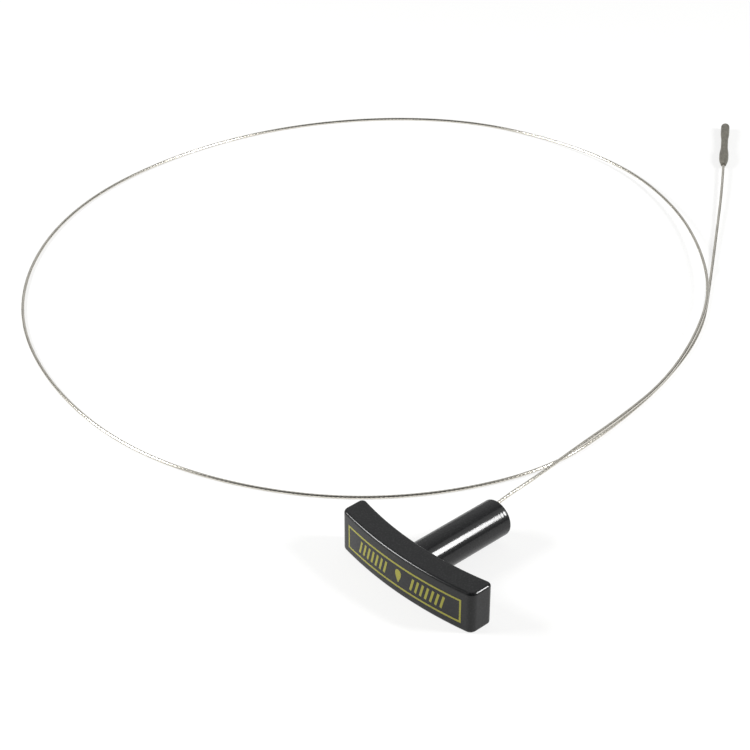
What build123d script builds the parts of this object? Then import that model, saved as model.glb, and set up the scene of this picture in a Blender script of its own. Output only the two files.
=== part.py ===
import math
import os

from build123d import *

# An engine oil dipstick: a moulded T-handle whose hollow stem caps the dipstick tube,
# and a long steel cable with a level tip. The handle lies on its side on z = 0, with its
# bar along X and its stem along +Y. Sizes are in millimetres.

# T-handle: a bowed bar and a round stem in one moulding
bar_length = 74.0
bar_depth = 11.0
bar_front_radius = 178.0
bar_rear_radius = 150.0
bar_shoulder = 1.7
bar_front_corner_radius = 3.2
bar_rear_corner_radius = 2.2
bar_edge_radius = 1.25
stem_diameter = 16.0
stem_length = 44.3
stem_root_radius = 0.7
stem_rim_radius = 0.8

# Socket in the stem, which goes over the dipstick tube
socket_diameter = 12.8
socket_depth = 34.0
socket_lead_in = 0.5

# Crimped ferrule that holds the cable in the handle
ferrule_diameter = 4.4
ferrule_length = 18.0
ferrule_seat_depth = 14.0
ferrule_press_clearance = 0.03
ferrule_chamfer = 0.4
crimp_count = 2
crimp_spacing = 4.5
crimp_width = 2.0
crimp_depth = 0.35

# Rubber washer on the socket's floor, for the tube's end to press on
washer_thickness = 2.5
washer_hole_clearance = 0.2
washer_rim_clearance = 0.1

# Steel cable
cable_diameter = 1.5
cable_lead = 8.5
bend_share = 0.45

# Level tip, cast on the end of the cable
tip_neck_diameter = 2.8
tip_neck_length = 5.0
tip_shoulder_diameter = 5.0
tip_shoulder_length = 8.0
tip_fall_length = 7.0
tip_waist_diameter = 3.8
tip_waist_length = 11.0
tip_rise_length = 6.0
tip_end_diameter = 4.7
tip_end_length = 11.0
tip_end_radius = 1.8
tip_blend_radius = 30.0

# Places and limits that follow from the sizes above
bar_height = stem_diameter + 2 * bar_shoulder
front_y = -(bar_depth + stem_length) / 2
mouth_y = front_y + bar_depth + stem_length
stem_z = bar_height / 2
socket_floor_y = mouth_y - socket_depth
ferrule_end_y = socket_floor_y - ferrule_seat_depth
cable_start_y = ferrule_end_y + ferrule_length
floor_z = cable_diameter / 2
tip_z = tip_shoulder_diameter / 2
edge_radius = min(bar_edge_radius, 0.75 * bar_shoulder)
root_radius = min(stem_root_radius, 0.9 * (bar_shoulder - edge_radius))

# The cable leaves the ferrule along the stem and sinks slowly to the floor. It lies there
# in one open turn, passes under its own start and rises a little to the tip.
cable_route = [
    (0, cable_start_y, stem_z),
    (0, cable_start_y + cable_lead, stem_z),
    (-2, 18, 10.5),
    (-5.5, 34, 11.3),
    (-7, 59, 11),
    (-11, 88, 10),
    (-14.5, 119, 8.7),
    (-21, 156, 7.5),
    (-36, 195, 6.5),
    (-58, 234, 5.7),
    (-91, 267, 4.6),
    (-131, 294, 3.2),
    (-178, 310, 2),
    (-228, 307, 1.2),
    (-276, 291, floor_z),
    (-316, 255, floor_z),
    (-345, 205, floor_z),
    (-357, 149, floor_z),
    (-354, 93, floor_z),
    (-336, 45, floor_z),
    (-304, 4, floor_z),
    (-263, -26, floor_z),
    (-211, -44, floor_z),
    (-157, -48, floor_z),
    (-108, -35, floor_z),
    (-64, -7, floor_z),
    (-34, 31, floor_z),
    (-16.5, 77, floor_z),
    (-19, 122, floor_z),
    (-28, 169, floor_z),
    (-44, 212, floor_z),
    (-70, 249, floor_z),
    (-98, 288, 1.4),
    (-128, 329.5, tip_z),
    (-144.3, 350.5, tip_z),
]


def across_stem(y):
    """Plane square to the stem at y, on its axis, facing the mouth."""
    return Plane(origin=(0, y, stem_z), x_dir=(1, 0, 0), z_dir=(0, 1, 0))


def round_bar(from_y, to_y, radius):
    """Cylinder on the stem's axis."""
    return extrude(across_stem(from_y) * Circle(radius), to_y - from_y)


def turned(outline, plane):
    """Solid turned about the plane's normal from (radius, distance) points or edges."""
    face = make_face(Plane.XZ * outline)
    return plane * revolve(face, Axis.Z)


def make_bar():
    """Bowed bar: an arc in front and a tighter one behind, cut off square at both ends."""
    front = Pos(0, front_y + bar_front_radius) * Circle(bar_front_radius)
    rear = Pos(0, front_y + bar_depth + bar_rear_radius) * Circle(bar_rear_radius)
    strip = Pos(0, front_y) * Rectangle(bar_length, bar_length, align=(Align.CENTER, Align.MIN))
    bar = extrude((front - rear) & strip, bar_height)
    bar = fillet(bar.edges().filter_by(Axis.Z).group_by(Axis.Y)[0], bar_front_corner_radius)
    bar = fillet(bar.edges().filter_by(Axis.Z).group_by(Axis.Y)[-1], bar_rear_corner_radius)
    levels = bar.edges().group_by(Axis.Z)
    return fillet([*levels[0], *levels[-1]], edge_radius)


def make_handle():
    """Bar and stem in one, with the tube socket and the ferrule's seat cut into it."""
    bar = make_bar()
    stem = round_bar(front_y + bar_depth / 2, mouth_y, stem_diameter / 2)
    handle = bar + stem
    handle = fillet(new_edges(bar, stem, combined=handle), root_radius)
    handle -= round_bar(socket_floor_y, mouth_y, socket_diameter / 2)
    seat_radius = ferrule_diameter / 2 + ferrule_press_clearance
    handle -= round_bar(ferrule_end_y, socket_floor_y, seat_radius)
    rim = handle.edges().filter_by(GeomType.CIRCLE).group_by(Axis.Y)[-1].sort_by(SortBy.RADIUS)[-1]
    handle = fillet(rim, stem_rim_radius)
    lip = handle.edges().filter_by(GeomType.CIRCLE).group_by(Axis.Y)[-1].sort_by(SortBy.RADIUS)[0]
    return chamfer(lip, socket_lead_in)


def make_ferrule():
    """Sleeve with crimped waists, chamfered at both ends."""
    radius = ferrule_diameter / 2
    points = [(0, 0), (radius - ferrule_chamfer, 0), (radius, ferrule_chamfer)]
    for crimp in range(1, crimp_count + 1):
        middle = crimp * crimp_spacing
        points.append((radius, middle - crimp_width / 2))
        points.append((radius - crimp_depth, middle - crimp_width / 4))
        points.append((radius - crimp_depth, middle + crimp_width / 4))
        points.append((radius, middle + crimp_width / 2))
    points.append((radius, ferrule_length - ferrule_chamfer))
    points.append((radius - ferrule_chamfer, ferrule_length))
    points.append((0, ferrule_length))
    return turned(Polyline(*points, close=True), across_stem(ferrule_end_y))


def make_washer():
    """Flat ring round the ferrule, cut square from sheet."""
    outer = socket_diameter / 2 - washer_rim_clearance
    inner = ferrule_diameter / 2 + washer_hole_clearance
    top_y = socket_floor_y + washer_thickness
    return round_bar(socket_floor_y, top_y, outer) - round_bar(socket_floor_y, top_y, inner)


def bend_radii(route):
    """Largest radius that the two runs at each inner point leave room for."""
    points = [Vector(point) for point in route]
    radii = []
    for before, corner, after in zip(points, points[1:], points[2:]):
        run_in = corner - before
        run_out = after - corner
        half_turn = math.radians(run_in.get_angle(run_out)) / 2
        radii.append(bend_share * min(run_in.length, run_out.length) / math.tan(half_turn))
    return radii


def make_cable():
    """Round cable along straight runs and tangent arcs."""
    radii = bend_radii(cable_route)
    print("cable bend radii:", [round(radius) for radius in radii])
    path = FilletPolyline(*cable_route, radius=radii)
    section = Plane(origin=path @ 0, z_dir=path % 0) * Circle(cable_diameter / 2)
    cable = sweep(section, path=path)
    expected = math.pi / 4 * cable_diameter**2 * path.length
    print(f"cable length {path.length:.1f}, volume {cable.volume:.1f}, expected {expected:.1f}")
    return cable


def make_tip():
    """Level tip along the cable's last run: neck, shoulder, waist and end bulge."""
    run_start = Vector(cable_route[-2])
    run_end = Vector(cable_route[-1])
    shoulder = tip_shoulder_diameter / 2
    waist = tip_waist_diameter / 2
    end = tip_end_diameter / 2
    lengths = [tip_neck_length, tip_shoulder_length, tip_fall_length]
    lengths += [tip_waist_length, tip_rise_length, tip_end_length]
    radii = [shoulder, shoulder, waist, waist, end, end]
    points = [(tip_neck_diameter / 2, 0)]
    for length, radius in zip(lengths, radii):
        points.append((radius, points[-1][1] + length))
    points.append((0, points[-1][1]))
    blends = [tip_blend_radius] * (len(lengths) - 1) + [tip_end_radius]
    side = FilletPolyline(*points, radius=blends)
    axis_line = Polyline(points[-1], (0, 0), points[0])
    return turned(side + axis_line, Plane(origin=run_end, z_dir=run_end - run_start))


pieces = {
    "t_handle": make_handle(),
    "cable_ferrule": make_ferrule(),
    "seal_washer": make_washer(),
    "cable": make_cable(),
    "level_tip": make_tip(),
}
os.makedirs("parts", exist_ok=True)
for name, piece in pieces.items():
    export_step(piece, f"parts/{name}.step")
    print(f"{name}: volume {piece.volume:.1f}")
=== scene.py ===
import math

import bpy
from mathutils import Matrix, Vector


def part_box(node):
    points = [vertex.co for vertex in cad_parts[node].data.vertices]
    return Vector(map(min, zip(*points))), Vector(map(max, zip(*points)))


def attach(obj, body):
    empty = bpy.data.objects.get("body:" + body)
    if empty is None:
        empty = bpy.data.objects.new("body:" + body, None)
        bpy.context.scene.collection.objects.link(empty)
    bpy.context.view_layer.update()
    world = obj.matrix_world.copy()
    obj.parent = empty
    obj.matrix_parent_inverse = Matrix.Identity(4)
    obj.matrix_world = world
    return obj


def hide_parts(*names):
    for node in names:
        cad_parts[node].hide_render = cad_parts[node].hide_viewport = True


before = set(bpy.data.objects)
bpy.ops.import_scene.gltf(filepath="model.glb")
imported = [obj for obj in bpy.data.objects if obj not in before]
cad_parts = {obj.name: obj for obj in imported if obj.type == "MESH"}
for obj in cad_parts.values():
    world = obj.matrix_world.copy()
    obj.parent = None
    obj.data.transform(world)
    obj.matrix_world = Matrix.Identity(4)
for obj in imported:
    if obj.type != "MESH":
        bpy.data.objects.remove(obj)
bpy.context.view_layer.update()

mm = 0.001
handleLow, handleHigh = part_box("t_handle")
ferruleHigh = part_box("cable_ferrule")[1]
tipLow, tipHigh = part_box("level_tip")
stemAxis = (handleLow.z + handleHigh.z) / 2  # the stem runs along Y at this height
print("frame loaded:", sorted(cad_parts))


def linear(hexColour):
    channels = [int(hexColour[i:i + 2], 16) / 255 for i in (1, 3, 5)]
    return [c / 12.92 if c <= 0.04045 else ((c + 0.055) / 1.055) ** 2.4 for c in channels] + [1]


def perMetre(sizeInMm):
    return 1 / (sizeInMm * mm)


def wavesPerMetre(pitchInMm):
    radiansPerUnit = 20  # how far a wave texture turns in each unit
    return 2 * math.pi / radiansPerUnit * perMetre(pitchInMm)


def addNode(tree, kind, settings=None, links=None):
    node = tree.nodes.new(kind)
    for name, value in (settings or {}).items():
        if isinstance(name, int) or name in node.inputs:
            node.inputs[name].default_value = value
        else:
            setattr(node, name, value)
    for name, output in (links or {}).items():
        tree.links.new(output, node.inputs[name])
    return node


# Sockets of a Mix node that mixes colours: they share their names, so they go by number
mixShare = 0
mixFirst = 6
mixSecond = 7
mixResult = 2


def newMaterial(name):
    material = bpy.data.materials.new(name)
    material.use_nodes = True
    return material, material.node_tree, material.node_tree.nodes["Principled BSDF"]


# Black nylon, injection moulded in a polished tool: deep black with a little dust, a sharp
# highlight that a faint waviness of the skin breaks up, and faint rings near the stem's mouth
def blackNylon():
    settings = {
        "colours": ("#040506", "#0f1012"),
        "mottleMm": 14,
        "mottleDetail": 7,
        "mottleBite": 0.75,
        "dustColour": "#212223",
        "dustMm": 0.7,
        "dustDetail": 2,
        "dustFrom": 0.48,  # noise above this is dust, in full from dustFull on
        "dustFull": 0.78,
        "peelMm": 1.1,
        "peelDetail": 2,
        "peelDepthMm": 0.008,
        "ringMm": 1.5,
        "ringDepthMm": 0.014,
        "ringBandMm": 8,
        "roughness": (0.4, 0.5),
        "ior": 1.53,
        "specular": 0.12,
        "skinGloss": 0.5,
        "skinRoughness": 0.13,
    }
    material, tree, skin = newMaterial("blackMouldedNylon")
    place = addNode(tree, "ShaderNodeTexCoord")
    mottle = addNode(
        tree, "ShaderNodeTexNoise",
        {"Scale": perMetre(settings["mottleMm"]), "Detail": settings["mottleDetail"],
         "Roughness": settings["mottleBite"]},
        {"Vector": place.outputs["Object"]},
    )
    colour = addNode(
        tree, "ShaderNodeMix",
        {"data_type": "RGBA", mixFirst: linear(settings["colours"][0]),
         mixSecond: linear(settings["colours"][1])},
        {mixShare: mottle.outputs["Fac"]},
    )
    specks = addNode(
        tree, "ShaderNodeTexNoise",
        {"Scale": perMetre(settings["dustMm"]), "Detail": settings["dustDetail"]},
        {"Vector": place.outputs["Object"]},
    )
    dust = addNode(
        tree, "ShaderNodeMapRange",
        {"From Min": settings["dustFrom"], "From Max": settings["dustFull"]},
        {"Value": specks.outputs["Fac"]},
    )
    dusty = addNode(
        tree, "ShaderNodeMix", {"data_type": "RGBA", mixSecond: linear(settings["dustColour"])},
        {mixShare: dust.outputs["Result"], mixFirst: colour.outputs[mixResult]},
    )
    gloss = addNode(
        tree, "ShaderNodeMapRange",
        {"To Min": settings["roughness"][0], "To Max": settings["roughness"][1]},
        {"Value": mottle.outputs["Fac"]},
    )
    peel = addNode(
        tree, "ShaderNodeTexNoise",
        {"Scale": perMetre(settings["peelMm"]), "Detail": settings["peelDetail"]},
        {"Vector": place.outputs["Object"]},
    )
    wave = addNode(
        tree, "ShaderNodeBump",
        {"Distance": settings["peelDepthMm"] * mm},
        {"Height": peel.outputs["Fac"]},
    )
    spot = addNode(tree, "ShaderNodeSeparateXYZ", links={0: place.outputs["Object"]})
    nearMouth = addNode(
        tree, "ShaderNodeMapRange",
        {"From Min": handleHigh.y - settings["ringBandMm"] * mm, "From Max": handleHigh.y},
        {"Value": spot.outputs["Y"]},
    )
    rings = addNode(
        tree, "ShaderNodeTexWave",
        {"bands_direction": "Y", "Scale": wavesPerMetre(settings["ringMm"])},
        {"Vector": place.outputs["Object"]},
    )
    ringHeight = addNode(
        tree, "ShaderNodeMath", {"operation": "MULTIPLY"},
        {0: rings.outputs["Fac"], 1: nearMouth.outputs["Result"]},
    )
    ringed = addNode(
        tree, "ShaderNodeBump",
        {"Distance": settings["ringDepthMm"] * mm},
        {"Height": ringHeight.outputs[0], "Normal": wave.outputs["Normal"]},
    )
    skin.inputs["IOR"].default_value = settings["ior"]
    skin.inputs["Specular IOR Level"].default_value = settings["specular"]
    skin.inputs["Coat Weight"].default_value = settings["skinGloss"]
    skin.inputs["Coat Roughness"].default_value = settings["skinRoughness"]
    tree.links.new(dusty.outputs[mixResult], skin.inputs["Base Color"])
    tree.links.new(gloss.outputs["Result"], skin.inputs["Roughness"])
    tree.links.new(ringed.outputs["Normal"], skin.inputs["Normal"])
    tree.links.new(ringed.outputs["Normal"], skin.inputs["Coat Normal"])
    return material


# Two-part ink, pad printed: an opaque olive yellow film, finely grained, with the plastic's gloss
def printInk():
    settings = {
        "colours": ("#a29e40", "#b6b14e"),
        "grainMm": 0.5,
        "grainDetail": 3,
        "grainDepthMm": 0.004,
        "roughness": (0.42, 0.6),
        "specular": 0.06,
        "skinGloss": 0.56,
        "skinRoughness": 0.2,
    }
    material, tree, skin = newMaterial("yellowPadPrint")
    place = addNode(tree, "ShaderNodeTexCoord")
    grain = addNode(
        tree, "ShaderNodeTexNoise",
        {"Scale": perMetre(settings["grainMm"]), "Detail": settings["grainDetail"]},
        {"Vector": place.outputs["Object"]},
    )
    colour = addNode(
        tree, "ShaderNodeMix",
        {"data_type": "RGBA", mixFirst: linear(settings["colours"][0]),
         mixSecond: linear(settings["colours"][1])},
        {mixShare: grain.outputs["Fac"]},
    )
    gloss = addNode(
        tree, "ShaderNodeMapRange",
        {"To Min": settings["roughness"][0], "To Max": settings["roughness"][1]},
        {"Value": grain.outputs["Fac"]},
    )
    film = addNode(
        tree, "ShaderNodeBump",
        {"Distance": settings["grainDepthMm"] * mm},
        {"Height": grain.outputs["Fac"]},
    )
    skin.inputs["Specular IOR Level"].default_value = settings["specular"]
    skin.inputs["Coat Weight"].default_value = settings["skinGloss"]
    skin.inputs["Coat Roughness"].default_value = settings["skinRoughness"]
    tree.links.new(colour.outputs[mixResult], skin.inputs["Base Color"])
    tree.links.new(gloss.outputs["Result"], skin.inputs["Roughness"])
    tree.links.new(film.outputs["Normal"], skin.inputs["Normal"])
    return material


# Stainless steel wire, cold drawn: bright, with darker stretches where oil has dried on it
def drawnSteel():
    settings = {
        "colours": ("#bbb7ad", "#eeeae0"),
        "stainMm": 7,
        "stainDetail": 5,
        "roughness": (0.16, 0.3),
    }
    material, tree, skin = newMaterial("drawnStainlessWire")
    place = addNode(tree, "ShaderNodeTexCoord")
    stain = addNode(
        tree, "ShaderNodeTexNoise",
        {"Scale": perMetre(settings["stainMm"]), "Detail": settings["stainDetail"]},
        {"Vector": place.outputs["Object"]},
    )
    colour = addNode(
        tree, "ShaderNodeMix",
        {"data_type": "RGBA", mixFirst: linear(settings["colours"][0]),
         mixSecond: linear(settings["colours"][1])},
        {mixShare: stain.outputs["Fac"]},
    )
    gloss = addNode(
        tree, "ShaderNodeMapRange",
        {"To Min": settings["roughness"][1], "To Max": settings["roughness"][0]},
        {"Value": stain.outputs["Fac"]},
    )
    skin.inputs["Metallic"].default_value = 1
    tree.links.new(colour.outputs[mixResult], skin.inputs["Base Color"])
    tree.links.new(gloss.outputs["Result"], skin.inputs["Roughness"])
    return material


# Zinc, die cast and left as cast: dull mid grey with a fine grain and no clear reflection
def castZinc():
    settings = {
        "colours": ("#625f59", "#9b988d"),
        "patchMm": 2.5,
        "patchDetail": 4,
        "grainMm": 0.4,
        "grainDetail": 3,
        "grainDepthMm": 0.05,
        "metallic": 0.55,
        "roughness": (0.5, 0.68),
    }
    material, tree, skin = newMaterial("dullCastZinc")
    place = addNode(tree, "ShaderNodeTexCoord")
    patch = addNode(
        tree, "ShaderNodeTexNoise",
        {"Scale": perMetre(settings["patchMm"]), "Detail": settings["patchDetail"]},
        {"Vector": place.outputs["Object"]},
    )
    colour = addNode(
        tree, "ShaderNodeMix",
        {"data_type": "RGBA", mixFirst: linear(settings["colours"][0]),
         mixSecond: linear(settings["colours"][1])},
        {mixShare: patch.outputs["Fac"]},
    )
    gloss = addNode(
        tree, "ShaderNodeMapRange",
        {"To Min": settings["roughness"][0], "To Max": settings["roughness"][1]},
        {"Value": patch.outputs["Fac"]},
    )
    grain = addNode(
        tree, "ShaderNodeTexNoise",
        {"Scale": perMetre(settings["grainMm"]), "Detail": settings["grainDetail"]},
        {"Vector": place.outputs["Object"]},
    )
    rough = addNode(
        tree, "ShaderNodeBump",
        {"Distance": settings["grainDepthMm"] * mm},
        {"Height": grain.outputs["Fac"]},
    )
    skin.inputs["Metallic"].default_value = settings["metallic"]
    tree.links.new(colour.outputs[mixResult], skin.inputs["Base Color"])
    tree.links.new(gloss.outputs["Result"], skin.inputs["Roughness"])
    tree.links.new(rough.outputs["Normal"], skin.inputs["Normal"])
    return material


# Brass, turned from bar: warm and bright, with tool rings round the stem's axis, drawn coarser
# than real ones so that they show
def turnedBrass():
    settings = {
        "colours": ("#a98644", "#cfae6a"),
        "ringMm": 0.4,
        "ringWobble": 0.6,
        "ringDepthMm": 0.008,
        "roughness": (0.22, 0.36),
    }
    material, tree, skin = newMaterial("turnedBrass")
    place = addNode(tree, "ShaderNodeTexCoord")
    rings = addNode(
        tree, "ShaderNodeTexWave",
        {"bands_direction": "Y", "Scale": wavesPerMetre(settings["ringMm"]),
         "Distortion": settings["ringWobble"]},
        {"Vector": place.outputs["Object"]},
    )
    colour = addNode(
        tree, "ShaderNodeMix",
        {"data_type": "RGBA", mixFirst: linear(settings["colours"][0]),
         mixSecond: linear(settings["colours"][1])},
        {mixShare: rings.outputs["Fac"]},
    )
    gloss = addNode(
        tree, "ShaderNodeMapRange",
        {"To Min": settings["roughness"][0], "To Max": settings["roughness"][1]},
        {"Value": rings.outputs["Fac"]},
    )
    groove = addNode(
        tree, "ShaderNodeBump",
        {"Distance": settings["ringDepthMm"] * mm},
        {"Height": rings.outputs["Fac"]},
    )
    skin.inputs["Metallic"].default_value = 1
    tree.links.new(colour.outputs[mixResult], skin.inputs["Base Color"])
    tree.links.new(gloss.outputs["Result"], skin.inputs["Roughness"])
    tree.links.new(groove.outputs["Normal"], skin.inputs["Normal"])
    return material


# Nitrile rubber, cut from sheet: matt charcoal with a dusty bloom
def nitrileRubber():
    settings = {
        "colours": ("#161616", "#262625"),
        "bloomMm": 1.8,
        "bloomDetail": 6,
        "roughness": (0.7, 0.9),
    }
    material, tree, skin = newMaterial("cutNitrileRubber")
    place = addNode(tree, "ShaderNodeTexCoord")
    bloom = addNode(
        tree, "ShaderNodeTexNoise",
        {"Scale": perMetre(settings["bloomMm"]), "Detail": settings["bloomDetail"]},
        {"Vector": place.outputs["Object"]},
    )
    colour = addNode(
        tree, "ShaderNodeMix",
        {"data_type": "RGBA", mixFirst: linear(settings["colours"][0]),
         mixSecond: linear(settings["colours"][1])},
        {mixShare: bloom.outputs["Fac"]},
    )
    gloss = addNode(
        tree, "ShaderNodeMapRange",
        {"To Min": settings["roughness"][0], "To Max": settings["roughness"][1]},
        {"Value": bloom.outputs["Fac"]},
    )
    tree.links.new(colour.outputs[mixResult], skin.inputs["Base Color"])
    tree.links.new(gloss.outputs["Result"], skin.inputs["Roughness"])
    return material


def newPiece(name, points, faces, material, smooth):
    mesh = bpy.data.meshes.new(name)
    mesh.from_pydata(points, [], faces)
    mesh.update()
    mesh.polygons.foreach_set("use_smooth", [smooth] * len(mesh.polygons))
    mesh.materials.append(material)
    piece = bpy.data.objects.new(name, mesh)
    bpy.context.scene.collection.objects.link(piece)
    return piece


def dress(node, material):
    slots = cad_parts[node].data.materials
    slots.clear()
    slots.append(material)


# Camera, placed as it stood for the photograph: angles in degrees, lens and sensor in millimetres
cameraSettings = {
    "target": Vector((-0.12185, 0.07226, 0)),
    "azimuth": 47.384,
    "elevation": 33.232,
    "distance": 0.918,
    "lens": 96,
    "sensor": 36,
}


def makeCamera():
    turn = math.radians(cameraSettings["azimuth"])
    rise = math.radians(cameraSettings["elevation"])
    level = math.cos(rise)
    back = Vector((math.sin(turn) * level, -math.cos(turn) * level, math.sin(rise)))
    data = bpy.data.cameras.new("photoCamera")
    data.lens = cameraSettings["lens"]
    data.sensor_width = cameraSettings["sensor"]
    camera = bpy.data.objects.new("photoCamera", data)
    camera.location = cameraSettings["target"] + back * cameraSettings["distance"]
    camera.rotation_euler = (-back).to_track_quat("-Z", "Y").to_euler()
    bpy.context.scene.collection.objects.link(camera)
    bpy.context.scene.camera = camera


makeCamera()
print("camera placed")

# Cable, in metres: a laid strand, and the points of its route from the ferrule to the level tip
cableSettings = {
    "diameter": 0.0015,
    "lead": 0.0085,
    "layLength": 0.018,  # in which a wire goes once round
    "outerWires": 9,
    "grooveDepth": 0.00004,
    "shoulderAt": 0.2,  # share of a wire's width
    "shoulderSink": 0.125,  # share of the groove's depth
    "ringStep": 0.001,
    "linePointsPerRun": 40,
    "length": 1.483,
}
floorLine = cableSettings["diameter"] / 2
tipLine = (tipLow.z + tipHigh.z) / 2
cableRoute = [
    (0, ferruleHigh.y, stemAxis),
    (0, ferruleHigh.y + cableSettings["lead"], stemAxis),
    (-0.002, 0.018, 0.0105),
    (-0.0055, 0.034, 0.0113),
    (-0.007, 0.059, 0.011),
    (-0.011, 0.088, 0.01),
    (-0.0145, 0.119, 0.0087),
    (-0.021, 0.156, 0.0075),
    (-0.036, 0.195, 0.0065),
    (-0.058, 0.234, 0.0057),
    (-0.091, 0.267, 0.0046),
    (-0.131, 0.294, 0.0032),
    (-0.178, 0.31, 0.002),
    (-0.228, 0.307, 0.0012),
    (-0.276, 0.291, floorLine),
    (-0.316, 0.255, floorLine),
    (-0.345, 0.205, floorLine),
    (-0.357, 0.149, floorLine),
    (-0.354, 0.093, floorLine),
    (-0.336, 0.045, floorLine),
    (-0.304, 0.004, floorLine),
    (-0.263, -0.026, floorLine),
    (-0.211, -0.044, floorLine),
    (-0.157, -0.048, floorLine),
    (-0.108, -0.035, floorLine),
    (-0.064, -0.007, floorLine),
    (-0.034, 0.031, floorLine),
    (-0.0165, 0.077, floorLine),
    (-0.019, 0.122, floorLine),
    (-0.028, 0.169, floorLine),
    (-0.044, 0.212, floorLine),
    (-0.07, 0.249, floorLine),
    (-0.098, 0.288, 0.0014),
    (-0.128, 0.3295, tipLine),
    (-0.1443, 0.3505, tipLine),
]


def routeLine(route):
    curve = bpy.data.curves.new("cableLine", "CURVE")
    curve.dimensions = "3D"
    spline = curve.splines.new("NURBS")
    spline.points.add(len(route) - 1)
    for point, place in zip(spline.points, route):
        point.co = (*place, 1)
    spline.order_u = 3  # stays close to the route
    spline.use_endpoint_u = True
    spline.resolution_u = cableSettings["linePointsPerRun"]
    holder = bpy.data.objects.new("cableLine", curve)
    mesh = bpy.data.meshes.new_from_object(holder)
    line = [vertex.co.copy() for vertex in mesh.vertices]
    bpy.data.objects.remove(holder)
    bpy.data.curves.remove(curve)
    bpy.data.meshes.remove(mesh)
    return line


def evenSteps(line, step):
    # points read off the line at equal distances, both ends kept
    shortest = 1e-12  # stands in for a run of no length
    reach = [0]
    for a, b in zip(line, line[1:]):
        reach.append(reach[-1] + (b - a).length)
    count = round(reach[-1] / step)
    points = []
    k = 0
    for i in range(count + 1):
        goal = reach[-1] * i / count
        while k < len(line) - 2 and reach[k + 1] < goal:
            k += 1
        share = (goal - reach[k]) / max(reach[k + 1] - reach[k], shortest)
        points.append(line[k].lerp(line[k + 1], share))
    return points, reach[-1]


def strandSection():
    # (share of a turn, radius) round a swaged strand: flattened outer wires, each with a groove
    # beside it, a shoulder, its crown and another shoulder
    radius = cableSettings["diameter"] / 2
    depth = cableSettings["grooveDepth"]
    wires = cableSettings["outerWires"]
    shoulder = cableSettings["shoulderAt"]
    shoulderSink = depth * cableSettings["shoulderSink"]
    profile = ((0, depth), (shoulder, shoulderSink), (0.5, 0), (1 - shoulder, shoulderSink))
    section = []
    for wire in range(wires):
        for across, sink in profile:
            section.append(((wire + across) / wires, radius - sink))
    return section


def cableStrand(material):
    line, length = evenSteps(routeLine(cableRoute), cableSettings["ringStep"])
    headings = [(b - a).normalized() for a, b in zip(line, line[1:])]
    headings.append(headings[-1])
    section = strandSection()
    sides = len(section)
    step = length / (len(line) - 1)
    side = headings[0].orthogonal().normalized()
    before = headings[0]
    points = []
    faces = []
    for i, (centre, heading) in enumerate(zip(line, headings)):
        side = before.rotation_difference(heading) @ side
        side = (side - side.dot(heading) * heading).normalized()
        over = heading.cross(side)
        before = heading
        for share, radius in section:
            turn = 2 * math.pi * (share + i * step / cableSettings["layLength"])
            points.append(centre + radius * (math.cos(turn) * side + math.sin(turn) * over))
    for i in range(len(line) - 1):
        for k in range(sides):
            a = i * sides + k
            b = i * sides + (k + 1) % sides
            faces.append((a, b, b + sides, a + sides))
    last = (len(line) - 1) * sides
    faces.append(tuple(reversed(range(sides))))
    faces.append(tuple(last + k for k in range(sides)))
    piece = newPiece("steelCableStrand", points, faces, material, True)
    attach(piece, "root")
    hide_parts("cable")
    print(f"cable laid: {length / mm:.0f} mm along its line, {len(faces)} faces")


cableStrand(drawnSteel())

# Print on the bar's bowed front, in millimetres. Its own right and up are the handle's left and
# down.
printSettings = {
    "faceRadius": 178,
    "middleUp": 0.5,
    "borderLength": 64.3,
    "borderHeight": 11.25,
    "borderLine": 0.85,
    "dropHeight": 6.4,
    "dropWidth": 3.23,
    "dropTaper": 1.3,
    "dropSteps": 24,
    "barCount": 7,
    "barLine": 1.1,
    "barHeight": 6,
    "barPitch": 2.6,
    "barLean": 1.6,
    "barsFrom": 7.6,
    "filmProud": 0.03,
    "filmSunk": 0.02,
    "bendStep": 1.2,
}


def onFront(right, up, proud):
    radius = printSettings["faceRadius"]
    turn = -right / radius
    centreY = handleLow.y / mm + radius
    x = (radius + proud) * math.sin(turn)
    y = centreY - (radius + proud) * math.cos(turn)
    return Vector((x, y, stemAxis / mm - up - printSettings["middleUp"])) * mm


def inkStroke(points, faces, path, closed=False):
    # a flat line of ink through (right, up, width) points, mitred at its corners and cut
    # fine enough to follow the bow
    corners = [Vector(place[:2]) for place in path]
    count = len(corners)
    runs = [(corners[(i + 1) % count] - corners[i]).normalized() for i in range(count)]
    edges = []
    for i in range(count):
        before = runs[i - 1] if closed or i > 0 else runs[i]
        after = runs[i] if closed or i < count - 1 else runs[i - 1]
        normal = Vector((-before.y - after.y, before.x + after.x)).normalized()
        reach = path[i][2] / 2 / normal.dot(Vector((-after.y, after.x)))
        edges.append((corners[i] + normal * reach, corners[i] - normal * reach))
    if closed:
        edges.append(edges[0])
    fine = [edges[0]]
    for (a, b), (c, d) in zip(edges, edges[1:]):
        parts = max(1, math.ceil((c - a).length / printSettings["bendStep"]))
        for k in range(1, parts + 1):
            fine.append((a.lerp(c, k / parts), b.lerp(d, k / parts)))
    if closed:
        fine.pop()
    proud = printSettings["filmProud"]
    sunk = -printSettings["filmSunk"]
    rim = ((0, proud), (1, proud), (1, sunk), (0, sunk))  # (which edge, height) round the film
    sides = len(rim)
    first = len(points)
    for pair in fine:
        for edge, lift in rim:
            points.append(onFront(pair[edge].x, pair[edge].y, lift))
    sections = len(fine)
    for i in range(sections if closed else sections - 1):
        here = first + sides * i
        there = first + sides * ((i + 1) % sections)
        for k in range(sides):
            beside = (k + 1) % sides
            faces.append((here + k, there + k, there + beside, here + beside))
    if not closed:
        last = first + sides * (sections - 1)
        faces.append(tuple(reversed(range(first, first + sides))))
        faces.append(tuple(range(last, last + sides)))


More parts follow.
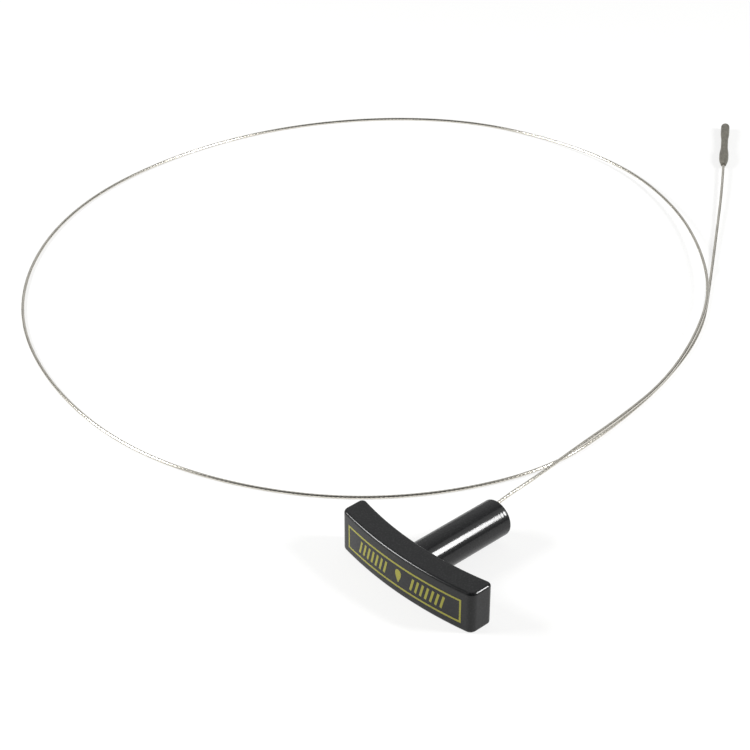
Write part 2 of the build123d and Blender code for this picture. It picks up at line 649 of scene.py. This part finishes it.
def inkDrop(points, faces):
    # a teardrop: a round foot that narrows to a point
    steps = printSettings["dropSteps"]
    turns = [math.pi * (1 - k / steps) for k in range(1, steps)]
    swells = [math.sin(turn) * math.sin(turn / 2) ** printSettings["dropTaper"] for turn in turns]
    halfHeight = printSettings["dropHeight"] / 2
    widen = printSettings["dropWidth"] / max(swells)
    path = [(0, halfHeight * math.cos(turn), widen * swell) for turn, swell in zip(turns, swells)]
    inkStroke(points, faces, path)


def frontPrint(material):
    points = []
    faces = []
    thin = printSettings["borderLine"]
    halfLength = (printSettings["borderLength"] - thin) / 2
    halfHeight = (printSettings["borderHeight"] - thin) / 2
    ends = ((-1, -1), (1, -1), (1, 1), (-1, 1))
    inkStroke(points, faces, [(x * halfLength, y * halfHeight, thin) for x, y in ends], True)
    inkDrop(points, faces)
    line = printSettings["barLine"]
    top = printSettings["barHeight"] / 2
    lean = printSettings["barLean"] / 2
    for side in (-1, 1):
        for k in range(printSettings["barCount"]):
            middle = side * (printSettings["barsFrom"] + k * printSettings["barPitch"])
            inkStroke(points, faces, [(middle - lean, -top, line), (middle + lean, top, line)])
    piece = newPiece("frontPrint", points, faces, material, False)
    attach(piece, "root")
    print(f"front printed: {len(faces)} faces")


frontPrint(printInk())

dress("t_handle", blackNylon())
dress("cable_ferrule", turnedBrass())
dress("seal_washer", nitrileRubber())
dress("level_tip", castZinc())
print("handle, ferrule, washer and tip dressed")

# Studio: a white floor, a room that is pale on the far side and dark behind the camera, an oval
# soft lamp on each side, and a faint one that fills the stem's shade beside the right lamp
studioSettings = {
    "floorSize": 30,
    "floorColour": "#8e8e8d",
    "floorLift": 0.735,  # light of its own, which makes the floor white and keeps its shadow
    "roomColour": "#ffffff",
    "roomFar": (-0.55, 0.52, 0.65),
    "roomFade": (0.68, 0.97),  # cosines off roomFar at which the room is darkest and palest
    "roomNearLevel": 0.06,
    "roomFarLevel": 0.68,
    "lampDistance": 1.3,
    "lamps": {
        "rightLamp": {
            "from": (0.622, 0.539, 0.568), "size": (0.22, 0.56), "roll": -28, "level": 40,
        },
        "leftLamp": {
            "from": (-0.62, -0.58, 0.53), "size": (0.66, 0.46), "roll": 0, "level": 19,
        },
        "fillLamp": {
            "from": (0.27, 0.566, 0.78), "size": (0.6, 0.3), "roll": 0, "level": 0.9,
        },
    },
}


def makeFloor():
    half = studioSettings["floorSize"] / 2
    corners = [(-half, -half, 0), (half, -half, 0), (half, half, 0), (-half, half, 0)]
    material, tree, skin = newMaterial("mattWhiteBoard")
    tree.nodes.remove(skin)
    path = addNode(tree, "ShaderNodeLightPath")
    seen = addNode(
        tree, "ShaderNodeMath", {"operation": "ADD"},
        {0: path.outputs["Is Camera Ray"], 1: path.outputs["Is Glossy Ray"]},
    )
    shown = addNode(
        tree, "ShaderNodeMath", {"operation": "ADD", "use_clamp": True},
        {0: seen.outputs[0], 1: path.outputs["Is Transmission Ray"]},
    )
    lift = addNode(
        tree, "ShaderNodeMath", {"operation": "MULTIPLY", 1: studioSettings["floorLift"]},
        {0: shown.outputs[0]},
    )
    paint = addNode(tree, "ShaderNodeBsdfDiffuse", {"Color": linear(studioSettings["floorColour"])})
    glow = addNode(tree, "ShaderNodeEmission", links={"Strength": lift.outputs[0]})
    both = addNode(tree, "ShaderNodeAddShader", links={0: paint.outputs[0], 1: glow.outputs[0]})
    tree.links.new(both.outputs[0], tree.nodes["Material Output"].inputs["Surface"])
    floor = newPiece("floor", corners, [(0, 1, 2, 3)], material, False)


def makeRoom():
    world = bpy.data.worlds.new("paleRoom")
    world.use_nodes = True
    bpy.context.scene.world = world
    tree = world.node_tree
    place = addNode(tree, "ShaderNodeTexCoord")
    towards = addNode(
        tree, "ShaderNodeVectorMath",
        {"operation": "DOT_PRODUCT", 1: studioSettings["roomFar"]},
        {0: place.outputs["Generated"]},
    )
    level = addNode(
        tree, "ShaderNodeMapRange",
        {"From Min": studioSettings["roomFade"][0], "From Max": studioSettings["roomFade"][1],
         "To Min": studioSettings["roomNearLevel"], "To Max": studioSettings["roomFarLevel"]},
        {"Value": towards.outputs["Value"]},
    )
    room = tree.nodes["Background"]
    room.inputs["Color"].default_value = linear(studioSettings["roomColour"])
    tree.links.new(level.outputs["Result"], room.inputs["Strength"])


def makeLamps():
    for name, lamp in studioSettings["lamps"].items():
        data = bpy.data.lights.new(name, "AREA")
        data.shape = "ELLIPSE"
        data.size, data.size_y = lamp["size"]
        data.energy = math.pi * lamp["level"] * data.size * data.size_y
        away = Vector(lamp["from"]).normalized()
        aim = away.to_track_quat("Z", "Y").to_euler()
        aim.rotate_axis("Z", math.radians(lamp["roll"]))
        holder = bpy.data.objects.new(name, data)
        holder.location = away * studioSettings["lampDistance"]
        holder.rotation_euler = aim
        bpy.context.scene.collection.objects.link(holder)


makeFloor()
makeRoom()
makeLamps()
bpy.context.scene.view_settings.view_transform = "Standard"
print("studio lit")
